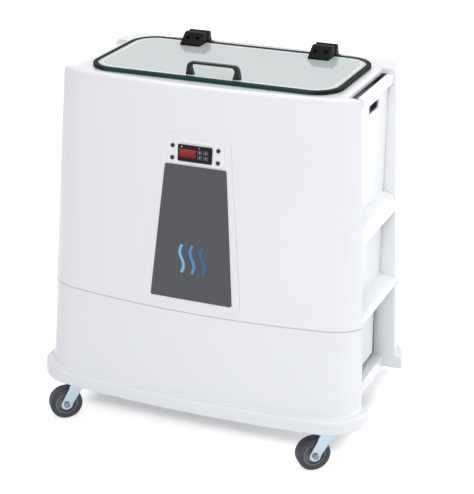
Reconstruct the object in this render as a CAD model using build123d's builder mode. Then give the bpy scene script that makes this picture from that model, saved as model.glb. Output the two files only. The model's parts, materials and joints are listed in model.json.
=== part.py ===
"""Mobile hot pack heater: a bow-front moulded cabinet on four casters round a heated steel tank.

Millimetres. X to the right, Y to the back, Z up, origin on the floor under the middle of the base.
"""

import os
from math import asin, atan2, cos, sin, sqrt

from build123d import *

os.makedirs("parts", exist_ok=True)

# ---------------------------------------------------------------- cabinet
wall = 5.0
rim_z = 826.0
seam_z = 336.0
lip_z = 118.0
lip_height = 31.0
rim_radius = 10.0
lip_radius = 7.0
lip_foot_radius = 4.0
riser_radius = 6.5

front_bow = 41.0
back_bow = 18.0
lip_bow = 27.0

# plan outlines: half width, reach from the middle, corner radius, bow, y of the edge at the side bay
rim_front = (394.0, 140.6, 134.0, front_bow, -97.0)
rim_back = (338.0, 231.0, 58.0, back_bow, 142.0)
seam_front = (379.0, 195.5, 95.0, front_bow, -126.0)
seam_back = (361.0, 226.0, 76.0, back_bow, 121.0)
riser_front = (369.0, 223.0, 76.0, lip_bow, -126.0)
riser_back = (360.0, 223.0, 66.0, back_bow, 142.0)
lip_front = (386.0, 240.0, 92.0, lip_bow, -126.0)
lip_back = (377.0, 240.0, 83.0, back_bow, 142.0)

# side bays and what fills them
bay_wall_x = 286.0
deck_edge_x = 305.0
deck_edge_radius = 5.0
deck_lip_depth = 15.0
base_bay_x = 292.0
side_rail_x = 333.0
fit_gap = 0.5
edge_overrun = 6.0
insert_sheet = 4.0
panel_top_x = 320.0
panel_foot_x = 323.0
rail_inner_x = 314.0
rail_width = 18.0
rail_height = 20.0
rail_top_z = 816.0
rail_front_y = -55.0
rail_back_y = 140.0
rail_end_radius = 6.0
rail_edge_radius = 6.0
window_height = 19.0
window_drop = 17.0
window_length = 66.0
window_radius = 5.0
rung_reach = 30.0
rung_high_z = 512.0
rung_high_height = 42.0
rung_low_x = 360.0
rung_low_height = 18.0
rung_radius = 9.0

# lower side panels
skirt_x = 314.0
skirt_sheet = 2.5
skirt_gap = 11.0
skirt_bottom_gap = 9.0

# base plate
plate_thickness = 6.0
plate_gap = 1.0

# ---------------------------------------------------------------- tank
tank_y = 34.0
tank_half_x = 265.0
tank_half_y = 124.0
tank_corner = 45.0
tank_bend = 18.0
tank_sheet = 1.5
tank_flange = 12.5
tank_bottom_z = 440.0
deck_gap = 1.5
foam = 12.0
foam_gap = 0.3
foam_top_gap = 1.0

# ---------------------------------------------------------------- lid
lid_half_x = 285.0
lid_half_y = 144.5
lid_corner = 62.0
glass = 4.0
seal_under = 1.2
seal_over = 1.0
seal_band = 11.0
seal_side = 2.0
rest_gap = 0.3
fittings_shift = 11.0

handle_spacing = 106.0
handle_foot = 18.0
handle_depth = 11.0
handle_rise = 31.0
handle_bar = 5.0
handle_lean = 5.0
handle_y = -90.0
handle_corner = 13.0
washer_radius = 9.0
washer_height = 2.5
handle_bolt = 2.5
handle_head = 1.2
handle_hole_depth = 10.0
handle_thread = 8.0
handle_edge = 1.5

hinge_spacing = 305.0
hinge_width = 47.0
hinge_axis_y = 182.0
hinge_axis_z = 846.0
barrel = 11.0
pin_radius = 4.0
running_gap = 0.05
knuckle_gap = 0.4
end_knuckle = 11.0
leaf_front_y = 126.0
leaf_nose = 3.5
leaf_crest_y = 154.0
leaf_crest_z = 857.0
leaf_crest_edge = 2.5
leaf_nose_edge = 1.5
leaf_screw_y = 141.0
leaf_screw_rise = 7.0
leaf_screw_head_height = 4.0
hinge_screw_spread = 24.0
hinge_screw = 2.5
hinge_screw_head = 4.5
clamp_plate = 2.5
clamp_back_y = 154.0
clamp_setback = 2.0
clamp_corner = 3.0
ledge_depth = 6.0
ledge_half_x = 250.0
ledge_front_y = 180.0
ledge_back_y = 219.0
ledge_corner = 6.0
leaf_plate = 5.0
base_leaf_back_y = 214.0
base_leaf_front = 1.5
base_leaf_corner = 1.4
base_web = 17.0
base_screw_setback = 25.0
base_screw_head_height = 2.5
bolt_gap = 0.3
knuckle_clear = 1.5
pin_head = 6.5
pin_head_height = 2.0
head_room = 0.5
screw_room = 0.1
hole_reach = 40.0
base_screw_length = 18.0

# ---------------------------------------------------------------- console
console_z = 686.0
pad_proud = 1.5
pad_top = 37.0
pad_bottom = -334.0
pad_half_top = 76.0
pad_half_bottom = 114.0
pad_corner = 14.0
bezel_width = 128.0
bezel_height = 50.0
bezel_thickness = 4.0
bezel_radius = 9.0
bezel_screw_x = 52.0
bezel_screw_y = 13.0
case_width = 77.0
case_height = 35.0
case_flange = 5.0
case_body_width = 71.0
case_body_height = 29.0
case_body_depth = 48.0
cutout_gap = 0.3
screen_width = 38.0
screen_height = 18.0
screen_x = -16.0
screen_depth = 1.2
key_width = 10.0
key_height = 7.0
key_proud = 1.0
key_length = 3.4
key_travel = 0.8
key_gap = 0.3
key_x = (12.5, 26.0)
key_y = (-5.5, 5.5)
plate_top = -28.0
plate_bottom = -322.0
plate_half_top = 70.0
plate_half_bottom = 95.0
plate_sheet = 2.0
plate_corner = 4.0
bezel_screw = 1.8
bezel_screw_head = 4.5
bezel_screw_height = 2.0
bezel_screw_length = 12.0
key_stop = 0.1

# ---------------------------------------------------------------- casters
caster_front = (305.0, -135.0)
caster_back = (262.0, 144.0)
caster_heading = (-0.77, -0.64)
caster_trail = 42.0
wheel_radius = 37.5
tyre_width = 28.0
tyre_crown = 4.0
hub_radius = 26.0
axle_radius = 4.0
fork_sheet = 3.0
fork_gap = 1.2
fork_foot_radius = 13.0
fork_foot_rise = 3.0
fork_top_back = 17.28
fork_top_front = 19.2
axle_end = 3.0
axle_nut = 6.8
axle_nut_height = 4.5
axle_head = 7.6
axle_head_height = 4.0
hub_end_gap = 0.3
hub_inset = 1.5
hub_rim = 3.5
hub_boss = 11.0
hub_bush = 8.5
hub_recess = 8.0
crown_radius = 24.0
race_height = 7.0
race_gap = 0.4
caster_plate = 4.0
caster_plate_length = 44.0
caster_plate_width = 80.0
kingpin = 6.0
crown_sheet = 4.0
race_radius = 21.0
rivet_radius = 10.0
rivet_height = 4.0
bolt_circle = (15.0, 31.0)
caster_bolt = 3.0
caster_bolt_head = 5.5
caster_bolt_head_height = 4.0
caster_bolt_end = 3.0
caster_plate_corner = 6.0

# ---------------------------------------------------------------- heating element and probe
element_x = 185.0
element_far_x = -205.0
element_y = (14.0, 54.0)
element_radius = 4.0
element_z = 462.0
element_bend = 12.0
element_foot_z = 402.0
bushing_radius = 11.0
bushing_height = 11.0
probe_gap = 2.0
probe_radius = 3.0
probe_bottom_z = 404.0
probe_top_z = 500.0
foam_hole = 17.0

# ---------------------------------------------------------------- support frame under the tank
angle_size = 25.0
angle_sheet = 3.0
frame_half_x = 232.0
frame_half_y = 98.0
foot_size = 60.0
foot_sheet = 4.0

# ---------------------------------------------------------------- drain
drain_x = -190.0
drain_y = 60.0
drain_z = 235.0
drain_outer = 9.0
drain_bore = 6.5
drain_gap = 0.5
drain_bend = 26.0
drain_flange = 15.0
drain_flange_height = 3.0
valve_length = 42.0
valve_radius = 13.0
spout_radius = 8.0
spout_bore = 5.5
spout_length = 24.0
valve_edge = 3.0
valve_nut = 15.0
valve_nut_length = 8.0
joint_bite = 0.5
stem_radius = 4.0
stem_rise = 7.0
stem_collar = 7.0
stem_sink = 2.0
lever_gap = 0.4
lever_height = 5.0
lever_width = 9.0
lever_length = 48.0
lever_boss = 8.0
lever_corner = 4.0
lever_edge = 1.5

# ---------------------------------------------------------------- wire rack
rack_half_x = 232.0
rack_half_y = 98.0
rack_floor_z = 480.0
rack_top_z = 800.0
rack_rim_wire = 2.5
rack_cross_wire = 2.2
rack_wire = 2.0
rack_leg_wire = 2.8
rack_overshoot = 3.0
wire_sides = 8
divider_count = 4
divider_top_z = 770.0
divider_wire_y = (-70.0, 0.0, 70.0)
floor_wire_y = (-35.0, 35.0)

# ---------------------------------------------------------------- rear service cover and cable gland
cover_z = 392.0
cover_width = 250.0
cover_height = 84.0
cover_corner = 12.0
cover_screw_inset = 8.0
cover_sheet = 2.0
cover_margin = 16.0
cover_screw = 2.0
cover_screw_head = 4.5
cover_screw_height = 2.0
cover_pad_edge = 8.0
gland_x = -60.0
gland_z = 215.0
gland_boss = 15.0
gland_face_y = 226.0
gland_back_y = 217.0
gland_thread = 8.0
gland_bore = 4.2
gland_hex = 11.5
gland_hex_length = 5.0
gland_nut_length = 8.0
gland_tail = 9.0

# ---------------------------------------------------------------- derived levels
deck_under = rim_z - wall
plate_z = lip_z + wall
flange_top_z = rim_z + tank_sheet
seal_z = flange_top_z + rest_gap
glass_z = seal_z + seal_under
glass_top_z = glass_z + glass
seal_top_z = glass_top_z + seal_over
tank_under_z = tank_bottom_z - tank_sheet
foam_z = tank_under_z - foam
ledge_z = rim_z - ledge_depth
base_top_z = plate_z + plate_thickness


def half_outline(width, reach, corner, bow, edge_y, inset):
    """Right half of a bow and its corner, front at -reach, as four points on the two arcs."""
    radius = (width**2 + bow**2) / (2 * bow)
    centre_y = radius - reach
    corner_x = width - corner
    corner_y = centre_y - sqrt((radius - corner) ** 2 - corner_x**2)
    turn = atan2(corner_y - centre_y, corner_x)
    end = asin((edge_y + edge_overrun - corner_y) / corner)
    middle = (turn + end) / 2
    big = radius - inset
    small = corner - inset
    return [
        (0, centre_y - big),
        (big * cos(turn), centre_y + big * sin(turn)),
        (corner_x + small * cos(middle), corner_y + small * sin(middle)),
        (corner_x + small * cos(end), corner_y + small * sin(end)),
    ]


def plan(z, front, back, inset=0.0):
    """Face of a cabinet outline at height z, offset inwards by inset."""
    ahead = half_outline(*front, inset)
    behind = [(x, -y) for x, y in half_outline(*back[:4], -back[4], inset)]
    left_ahead = [(-x, y) for x, y in ahead]
    left_behind = [(-x, y) for x, y in behind]
    with BuildSketch(Plane.XY.offset(z)) as face:
        with BuildLine():
            ThreePointArc(left_ahead[1], ahead[0], ahead[1])
            ThreePointArc(*ahead[1:])
            Line(ahead[3], behind[3])
            ThreePointArc(*reversed(behind[1:]))
            ThreePointArc(behind[1], behind[0], left_behind[1])
            ThreePointArc(*left_behind[1:])
            Line(left_behind[3], left_ahead[3])
            ThreePointArc(*reversed(left_ahead[1:]))
        make_face()
    return face.sketch.faces()[0]


def slanted(z, low_z, low_y, high_z, high_y):
    """y at height z on the line through two points of a bay edge."""
    return low_y + (high_y - low_y) * (z - low_z) / (high_z - low_z)


def bay(side, x, bottom, top, grow=0.0, reach=150.0):
    """Side bay of the upper cabinet, from x outwards, grown all round."""
    ends = [(seam_front[4], rim_front[4], -grow), (seam_back[4], rim_back[4], grow)]
    corners = [(slanted(z, seam_z, a, rim_z, b) + g, z) for z in (bottom, top) for a, b, g in ends]
    with BuildPart() as block:
        with BuildSketch(Plane.YZ.offset(side * (x - grow))):
            Polygon(corners[0], corners[1], corners[3], corners[2], align=None)
        extrude(amount=side * reach)
    return block.part


def base_bay(side, x, bottom, top, grow=0.0, reach=150.0):
    """Side bay of the base, whose back edge slants."""
    front_y = riser_front[4] - grow
    low_y = slanted(bottom, lip_z, riser_back[4], seam_z, seam_back[4]) + grow
    high_y = slanted(top, lip_z, riser_back[4], seam_z, seam_back[4]) + grow
    with BuildPart() as block:
        with BuildSketch(Plane.YZ.offset(side * (x - grow))):
            Polygon((front_y, bottom), (low_y, bottom), (high_y, top), (front_y, top), align=None)
        extrude(amount=side * reach)
    return block.part


# leaning plane of the console, y up the slope, z out of the face
lean = atan2(seam_front[1] - rim_front[1], rim_z - seam_z)
console_y = -slanted(console_z, seam_z, seam_front[1], rim_z, rim_front[1])
face_normal = (0, -cos(lean), sin(lean))
console_wall = Plane(origin=(0, console_y, console_z), x_dir=(1, 0, 0), z_dir=face_normal)
pad_face = console_wall.offset(pad_proud)
bezel_face = pad_face.offset(bezel_thickness)
case_face = bezel_face.offset(case_flange)

back_lean = atan2(rim_back[1] - seam_back[1], rim_z - seam_z)
cover_y = slanted(cover_z, seam_z, seam_back[1], rim_z, rim_back[1])
back_normal = (0, cos(back_lean), sin(-back_lean))
cover_face = Plane(origin=(0, cover_y + 1.0, cover_z), x_dir=(-1, 0, 0), z_dir=back_normal)


# ---------------------------------------------------------------- places that follow from the sizes
lip_top_z = lip_z + lip_height
skirt_bottom = lip_top_z + skirt_bottom_gap
skirt_top = seam_z
rail_y = (rail_front_y + rail_back_y) / 2
valve_start_x = -(skirt_x + 1.0)
lever_x = valve_start_x - valve_length / 2
stem_foot_z = drain_z + valve_radius - stem_sink
lever_z = stem_foot_z + stem_rise + lever_gap
divider_pitch = 2 * rack_half_x / (divider_count + 1)
probe_place = (-rack_half_x - rack_leg_wire - probe_gap - probe_radius, tank_y)
handle_x = [fittings_shift + side * handle_spacing / 2 for side in (-1, 1)]
hinge_x = [fittings_shift + side * hinge_spacing / 2 for side in (-1, 1)]
leaf_screws = [(x + side * hinge_screw_spread / 2, leaf_screw_y) for x in hinge_x for side in (-1, 1)]
handle_z = glass_top_z + washer_height
handle_top_z = glass_top_z + handle_rise
screw_seat_z = glass_top_z + leaf_screw_rise
clamp_front_y = leaf_front_y + clamp_setback
middle_knuckle = hinge_width - 2 * (end_knuckle + knuckle_gap)
clamp_end_y = hinge_axis_y - barrel - knuckle_clear
base_screw_y = hinge_axis_y + base_screw_setback
base_screws = [(x + side * hinge_screw_spread / 2, base_screw_y) for x in hinge_x for side in (-1, 1)]
face_axis = Axis(console_wall.origin, face_normal)
case_hole_width = case_body_width + 2 * cutout_gap
case_hole_height = case_body_height + 2 * cutout_gap
bezel_screws_at = [(sx * bezel_screw_x, sy * bezel_screw_y) for sx in (1, -1) for sy in (1, -1)]
key_depth = key_length - key_proud
keys_at = [(x, y) for x in key_x for y in key_y]
cover_screws_at = [
    (x, y)
    for x in (cover_screw_inset - cover_width / 2, 0, cover_width / 2 - cover_screw_inset)
    for y in (cover_screw_inset - cover_height / 2, cover_height / 2 - cover_screw_inset)
]
gland_rear = Plane(origin=(gland_x, gland_face_y, gland_z), x_dir=(-1, 0, 0), z_dir=(0, 1, 0))
heading = atan2(caster_heading[1], caster_heading[0])
trail_way = (cos(heading), sin(heading), 0)
axle_way = (sin(heading), -cos(heading), 0)
race_bottom_z = lip_z - caster_plate - race_height
crown_top_z = race_bottom_z - race_gap
leg_half = tyre_width / 2 + fork_gap
places = {
    "front_left": (-caster_front[0], caster_front[1]),
    "front_right": caster_front,
    "rear_left": (-caster_back[0], caster_back[1]),
    "rear_right": caster_back,
}
hub_half = leg_half - hub_end_gap
axle_z = wheel_radius
bolts_at = [
    (x + sx * bolt_circle[0], y + sy * bolt_circle[1])
    for x, y in places.values()
    for sx in (1, -1)
    for sy in (1, -1)
]

# ---------------------------------------------------------------- upper shell
with BuildPart() as upper_shell:
    loft([plan(seam_z, seam_front, seam_back), plan(rim_z, rim_front, rim_back)], ruled=True)
    top_edges = upper_shell.edges().filter_by(lambda e: abs(e.center().Z - rim_z) < 0.001)
    fillet(top_edges, rim_radius)
    for side in (1, -1):
        add(bay(side, bay_wall_x, seam_z - 1, rim_z - deck_lip_depth), mode=Mode.SUBTRACT)
        add(bay(side, deck_edge_x, rim_z - deck_lip_depth - 1, rim_z + 1), mode=Mode.SUBTRACT)
    deck_edges = upper_shell.edges().filter_by(
        lambda e: abs(abs(e.center().X) - deck_edge_x) < 0.1 and abs(e.center().Z - rim_z) < 0.1
    )
    fillet(deck_edges, deck_edge_radius)
    # console pad
    with BuildSketch(pad_face):
        Polygon(
            (-pad_half_bottom, pad_bottom),
            (pad_half_bottom, pad_bottom),
            (pad_half_top, pad_top),
            (-pad_half_top, pad_top),
            align=None,
        )
        fillet(vertices(), pad_corner)
    extrude(amount=-wall)
    # service cover pad
    with BuildSketch(cover_face):
        RectangleRounded(
            cover_width + 2 * cover_pad_edge,
            cover_height + 2 * cover_pad_edge,
            cover_corner + cover_pad_edge,
        )
    extrude(amount=-wall)
    # hollow, with the wall carried round bays and ledge
    with BuildPart(mode=Mode.PRIVATE) as hollow:
        loft(
            [
                plan(seam_z - 0.001, seam_front, seam_back, wall),
                plan(deck_under, rim_front, rim_back, wall),
            ],
            ruled=True,
        )
        for side in (1, -1):
            add(bay(side, bay_wall_x, seam_z - 2, rim_z, grow=wall), mode=Mode.SUBTRACT)
        with Locations((0, (ledge_front_y + ledge_back_y) / 2, rim_z)):
            Box(
                2 * (ledge_half_x + wall),
                ledge_back_y - ledge_front_y + 2 * wall,
                2 * (ledge_depth + wall),
                mode=Mode.SUBTRACT,
            )
    add(hollow.part, mode=Mode.SUBTRACT)
    # ledge for the hinges
    with BuildSketch(Plane.XY.offset(ledge_z)):
        with Locations((0, (ledge_front_y + ledge_back_y) / 2)):
            RectangleRounded(2 * ledge_half_x, ledge_back_y - ledge_front_y, ledge_corner)
    extrude(amount=2 * ledge_depth, mode=Mode.SUBTRACT)
    # deck opening
    with BuildSketch(Plane.XY.offset(deck_under - 1)):
        with Locations((0, tank_y)):
            RectangleRounded(
                2 * (tank_half_x + tank_sheet + deck_gap),
                2 * (tank_half_y + tank_sheet + deck_gap),
                tank_corner + tank_sheet + deck_gap,
            )
    extrude(amount=2 * wall, mode=Mode.SUBTRACT)
    # controller cut-out
    with BuildSketch(pad_face):
        Rectangle(case_body_width + 2 * cutout_gap, case_body_height + 2 * cutout_gap)
    extrude(amount=-4 * wall, mode=Mode.SUBTRACT)
    # service opening and pilot holes
    with BuildSketch(cover_face):
        RectangleRounded(cover_width - 2 * cover_margin, cover_height - 2 * cover_margin, cover_corner)
        with Locations(*cover_screws_at):
            Circle(cover_screw)
    extrude(amount=-4 * wall, mode=Mode.SUBTRACT)
    with BuildSketch(pad_face):
        with Locations(*bezel_screws_at):
            Circle(bezel_screw)
    extrude(amount=-4 * wall, mode=Mode.SUBTRACT)
    # pilot holes of the hinge screws
    with Locations(*[(x, y, ledge_z) for x, y in base_screws]):
        Cylinder(hinge_screw, 4 * wall, mode=Mode.SUBTRACT)
upper_shell.part.label = "upper_shell"
export_step(upper_shell.part, "parts/upper_shell.step")


# ---------------------------------------------------------------- base moulding

with BuildPart() as base_moulding:
    extrude(plan(lip_z, lip_front, lip_back), amount=lip_height)
    fillet(base_moulding.edges().group_by(Axis.Z)[-1], lip_radius)
    fillet(base_moulding.edges().group_by(Axis.Z)[0], lip_foot_radius)
    loft(
        [plan(lip_top_z - wall, riser_front, riser_back), plan(seam_z, seam_front, seam_back)],
        ruled=True,
    )
    lip_top = base_moulding.faces().filter_by(Plane.XY).filter_by(
        lambda f: abs(f.center().Z - lip_top_z) < 0.01
    )[0]
    fillet(lip_top.inner_wires()[0].edges(), riser_radius)
    split(bisect_by=Plane.YZ)
    add(base_bay(1, side_rail_x, lip_z - 1, lip_top_z + 2), mode=Mode.SUBTRACT)
    add(base_bay(1, base_bay_x, lip_top_z, seam_z + 1), mode=Mode.SUBTRACT)
    mirror(about=Plane.YZ)
    with BuildPart(mode=Mode.PRIVATE) as base_hollow:
        extrude(plan(plate_z, lip_front, lip_back, wall), amount=lip_height - 2 * wall)
        loft(
            [
                plan(plate_z - 0.001, riser_front, riser_back, wall),
                plan(seam_z + 0.001, seam_front, seam_back, wall),
            ],
            ruled=True,
        )
        for side in (1, -1):
            add(base_bay(side, base_bay_x, lip_top_z - wall, seam_z + 1, grow=wall), mode=Mode.SUBTRACT)
            add(base_bay(side, side_rail_x, lip_z, lip_top_z, grow=wall), mode=Mode.SUBTRACT)
    add(base_hollow.part, mode=Mode.SUBTRACT)
    # caster bolt holes
    with BuildSketch(Plane.XY.offset(lip_z)):
        with Locations(*bolts_at):
            Circle(caster_bolt)
    extrude(amount=wall, mode=Mode.SUBTRACT)
    # drain pipe hole in the left bay wall
    with Locations(Location((-base_bay_x, drain_y, drain_z), (0, 90, 0))):
        Cylinder(drain_outer + drain_gap, 4 * wall, mode=Mode.SUBTRACT)
    # boss and hole for the cable gland
    with BuildSketch(gland_rear):
        Circle(gland_boss)
    extrude(amount=gland_back_y - gland_face_y)
    with BuildSketch(gland_rear):
        Circle(gland_thread)
    extrude(amount=2 * (gland_back_y - gland_face_y), both=True, mode=Mode.SUBTRACT)
base_moulding.part.label = "base_moulding"
export_step(base_moulding.part, "parts/base_moulding.step")

# ---------------------------------------------------------------- side insert, right, mirrored for the left


def panel_x(z):
    """Outer face of the side panel at height z."""
    return slanted(z, seam_z, panel_foot_x, rail_top_z, panel_top_x)


def insert_profile(inset, bottom, top):
    """Section of the side insert in XZ with its two rungs, offset inwards by inset."""
    with BuildSketch(Plane.XZ) as section:
        with BuildLine():
            Polyline(
                (bay_wall_x + fit_gap, bottom),
                (rung_low_x - inset, bottom),
                (rung_low_x - inset, seam_z + rung_low_height - inset),
                (panel_x(seam_z) - inset, seam_z + rung_low_height + 8 - inset),
                (panel_x(rung_high_z) - inset, rung_high_z + inset),
                (panel_x(rung_high_z) + rung_reach - inset, rung_high_z + inset),
                (panel_x(rung_high_z) + rung_reach - 6 - inset, rung_high_z + rung_high_height - 8 - inset),
                (panel_x(rung_high_z) - inset, rung_high_z + rung_high_height - inset),
                (panel_x(top) - inset, top),
                (bay_wall_x + fit_gap, top),
                close=True,
            )
        make_face()
    return section.sketch.faces()[0]


with BuildPart() as side_insert:
    extrude(insert_profile(0, seam_z, rail_top_z - rail_height + 2), amount=200, both=True)
    long_edges = side_insert.edges().filter_by(Axis.Y)
    low_edge = long_edges.filter_by(lambda e: e.center().X > rung_low_x - 1 and e.center().Z > seam_z + 5)
    high_edge = long_edges.filter_by(
        lambda e: rung_high_z + 5 < e.center().Z < rung_high_z + rung_high_height - 2
        and e.center().X > panel_x(rung_high_z) + 5
    )
    fillet(low_edge + high_edge, rung_radius)
    add(bay(1, 0, seam_z - 1, rim_z, grow=-fit_gap, reach=500), mode=Mode.INTERSECT)
    with BuildPart(mode=Mode.PRIVATE) as insert_hollow:
        extrude(insert_profile(insert_sheet, seam_z + insert_sheet, rail_top_z), amount=200, both=True)
        add(bay(1, 0, seam_z - 1, rim_z, grow=-fit_gap - insert_sheet, reach=500), mode=Mode.INTERSECT)
    add(insert_hollow.part, mode=Mode.SUBTRACT)
    # hand rail
    with BuildPart(mode=Mode.PRIVATE) as rail:
        with BuildSketch(Plane.XY.offset(rail_top_z - rail_height)):
            with Locations((rail_inner_x + rail_width / 2, rail_y)):
                RectangleRounded(rail_width, rail_back_y - rail_front_y, rail_end_radius)
        extrude(amount=rail_height)
        fillet(rail.faces().sort_by(Axis.Z)[-1].edges(), rail_edge_radius)
        fillet(rail.faces().sort_by(Axis.Z)[0].edges(), 2.0)
    add(rail.part)
    # hand-hold window
    with BuildSketch(Plane.YZ.offset(panel_top_x - 2 * insert_sheet)):
        with Locations((rail_y, rail_top_z - rail_height - window_drop - window_height / 2)):
            RectangleRounded(window_length, window_height, window_radius)
    extrude(amount=4 * insert_sheet, mode=Mode.SUBTRACT)

for name, side in (("right", 1), ("left", -1)):
    piece = side_insert.part if side > 0 else mirror(side_insert.part, about=Plane.YZ)
    piece.label = f"side_panel_{name}"
    export_step(piece, f"parts/side_panel_{name}.step")

# ---------------------------------------------------------------- lower side panels
with BuildPart() as skirt:
    add(base_bay(1, 0, skirt_bottom, skirt_top, grow=-skirt_gap, reach=skirt_x + skirt_gap))
    with BuildPart(mode=Mode.PRIVATE) as skirt_near:
        with Locations(((base_bay_x + skirt_x) / 2, 0, seam_z / 2)):
            Box(skirt_x - base_bay_x, 600, seam_z + 10)
    add(skirt_near.part, mode=Mode.INTERSECT)
    fillet(skirt.edges().filter_by(Axis.X), 6)
    offset(
        skirt.part,
        amount=-skirt_sheet,
        openings=skirt.faces().sort_by(Axis.X)[0],
        mode=Mode.REPLACE,
    )

for name, side in (("right", 1), ("left", -1)):
    with BuildPart() as lower_side_panel:
        if side > 0:
            add(skirt.part)
        else:
            add(mirror(skirt.part, about=Plane.YZ))
            with Locations((-skirt_x, drain_y, drain_z)):
                Cylinder(drain_outer + drain_gap, 4 * skirt_sheet, rotation=(0, 90, 0), mode=Mode.SUBTRACT)
    lower_side_panel.part.label = f"lower_side_panel_{name}"
    export_step(lower_side_panel.part, f"parts/lower_side_panel_{name}.step")

# ---------------------------------------------------------------- base plate
with BuildPart() as base_plate:
    extrude(plan(plate_z, riser_front, riser_back, wall + plate_gap), amount=plate_thickness)
    for side in (1, -1):
        add(base_bay(side, side_rail_x, lip_z, lip_top_z, grow=wall + plate_gap), mode=Mode.SUBTRACT)
    with BuildSketch(Plane.XY.offset(plate_z)):
        with Locations(*bolts_at):
            Circle(caster_bolt)
    extrude(amount=plate_thickness, mode=Mode.SUBTRACT)
base_plate.part.label = "base_plate"
export_step(base_plate.part, "parts/base_plate.step")

# ---------------------------------------------------------------- tank


def tank_block(grow, bottom, top, bend):
    """Rounded block on the tank's plan, grown sideways."""
    with BuildPart() as block:
        with BuildSketch(Plane.XY.offset(bottom)):
            with Locations((0, tank_y)):
                RectangleRounded(2 * (tank_half_x + grow), 2 * (tank_half_y + grow), tank_corner + grow)
        extrude(amount=top - bottom)
        fillet(block.faces().sort_by(Axis.Z)[0].edges(), bend)
    return block.part


with BuildPart() as tank:
    add(tank_block(tank_sheet, tank_under_z, rim_z, tank_bend + tank_sheet))
    with BuildSketch(Plane.XY.offset(rim_z)):
        with Locations((0, tank_y)):
            RectangleRounded(
                2 * (tank_half_x + tank_sheet + tank_flange),
                2 * (tank_half_y + tank_sheet + tank_flange),
                tank_corner + tank_sheet + tank_flange,
            )
    extrude(amount=tank_sheet)
    add(tank_block(0, tank_bottom_z, flange_top_z + 1, tank_bend), mode=Mode.SUBTRACT)
    with Locations(*[(element_x, y, tank_bottom_z) for y in element_y]):
        Cylinder(element_radius, 4 * tank_sheet, mode=Mode.SUBTRACT)
    with Locations((*probe_place, tank_bottom_z)):
        Cylinder(probe_radius, 4 * tank_sheet, mode=Mode.SUBTRACT)
    with Locations((drain_x, tank_y, tank_bottom_z)):
        Cylinder(drain_bore, 4 * tank_sheet, mode=Mode.SUBTRACT)
tank.part.label = "tank"
export_step(tank.part, "parts/tank.step")

with BuildPart() as tank_insulation:
    foam_inner = tank_sheet + foam_gap
    add(tank_block(tank_sheet + foam, foam_z, deck_under - foam_top_gap, tank_bend + foam))
    add(
        tank_block(foam_inner, tank_under_z, rim_z, tank_bend + tank_sheet + foam_gap),
        mode=Mode.SUBTRACT,
    )
    with Locations(
        *[(element_x, y, foam_z) for y in element_y],
        (*probe_place, foam_z),
        (drain_x, tank_y, foam_z),
    ):
        Cylinder(foam_hole, 4 * foam, mode=Mode.SUBTRACT)
tank_insulation.part.label = "tank_insulation"
export_step(tank_insulation.part, "parts/tank_insulation.step")

# ---------------------------------------------------------------- support frame under the tank

with BuildPart() as support_frame:
    with Locations((0, tank_y, foam_z - angle_size)):
        Box(2 * frame_half_x, 2 * frame_half_y, angle_size, align=(Align.CENTER, Align.CENTER, Align.MIN))
        Box(
            2 * (frame_half_x - angle_sheet),
            2 * (frame_half_y - angle_sheet),
            angle_size - angle_sheet,
            align=(Align.CENTER, Align.CENTER, Align.MIN),
            mode=Mode.SUBTRACT,
        )
        Box(
            2 * (frame_half_x - angle_size),
            2 * (frame_half_y - angle_size),
            2 * angle_size,
            align=(Align.CENTER, Align.CENTER, Align.MIN),
            mode=Mode.SUBTRACT,
        )
    for sx in (1, -1):
        for sy in (1, -1):
            leg = [
                (0, 0),
                (-angle_size, 0),
                (-angle_size, -angle_sheet),
                (-angle_sheet, -angle_sheet),
                (-angle_sheet, -angle_size),
                (0, -angle_size),
            ]
            with BuildSketch(Plane.XY.offset(base_top_z)):
                Polygon(
                    *[(sx * (frame_half_x + x), tank_y + sy * (frame_half_y + y)) for x, y in leg],
                    align=None,
                )
            extrude(amount=foam_z - base_top_z)
            with Locations(
                (
                    sx * (frame_half_x - foot_size / 2),
                    tank_y + sy * (frame_half_y - foot_size / 2),
                    base_top_z,
                )
            ):
                Box(foot_size, foot_size, foot_sheet, align=(Align.CENTER, Align.CENTER, Align.MIN))
support_frame.part.label = "tank_support_frame"
export_step(support_frame.part, "parts/tank_support_frame.step")

# ---------------------------------------------------------------- heating element and its fittings

with BuildPart() as heating_element:
    with BuildLine() as element_path:
        FilletPolyline(
            (element_x, element_y[0], element_foot_z),
            (element_x, element_y[0], element_z),
            (element_far_x, element_y[0], element_z),
            (element_far_x, element_y[1], element_z),
            (element_x, element_y[1], element_z),
            (element_x, element_y[1], element_foot_z),
            radius=element_bend,
        )
    with BuildSketch(Plane(origin=element_path.line @ 0, z_dir=element_path.line % 0)):
        Circle(element_radius)
    sweep(path=element_path.line)
heating_element.part.label = "heating_element"
export_step(heating_element.part, "parts/heating_element.step")

with BuildPart() as element_bushings:
    for y in element_y:
        with BuildSketch(Plane.XY.offset(tank_under_z - bushing_height)):
            with Locations((element_x, y)):
                RegularPolygon(bushing_radius, 6)
                Circle(element_radius, mode=Mode.SUBTRACT)
        extrude(amount=bushing_height)
element_bushings.part.label = "element_bushings"
export_step(element_bushings.part, "parts/element_bushings.step")

with BuildPart() as temperature_probe:
    with Locations((*probe_place, probe_bottom_z)):
        Cylinder(
            probe_radius, probe_top_z - probe_bottom_z, align=(Align.CENTER, Align.CENTER, Align.MIN)
        )
    with BuildSketch(Plane.XY.offset(tank_under_z - bushing_height)):
        with Locations(probe_place):
            RegularPolygon(bushing_radius, 6)
    extrude(amount=bushing_height)
    fillet(temperature_probe.faces().sort_by(Axis.Z)[-1].edges(), 2.5)
temperature_probe.part.label = "temperature_probe"
export_step(temperature_probe.part, "parts/temperature_probe.step")

# ---------------------------------------------------------------- drain pipe, valve and lever

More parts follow.
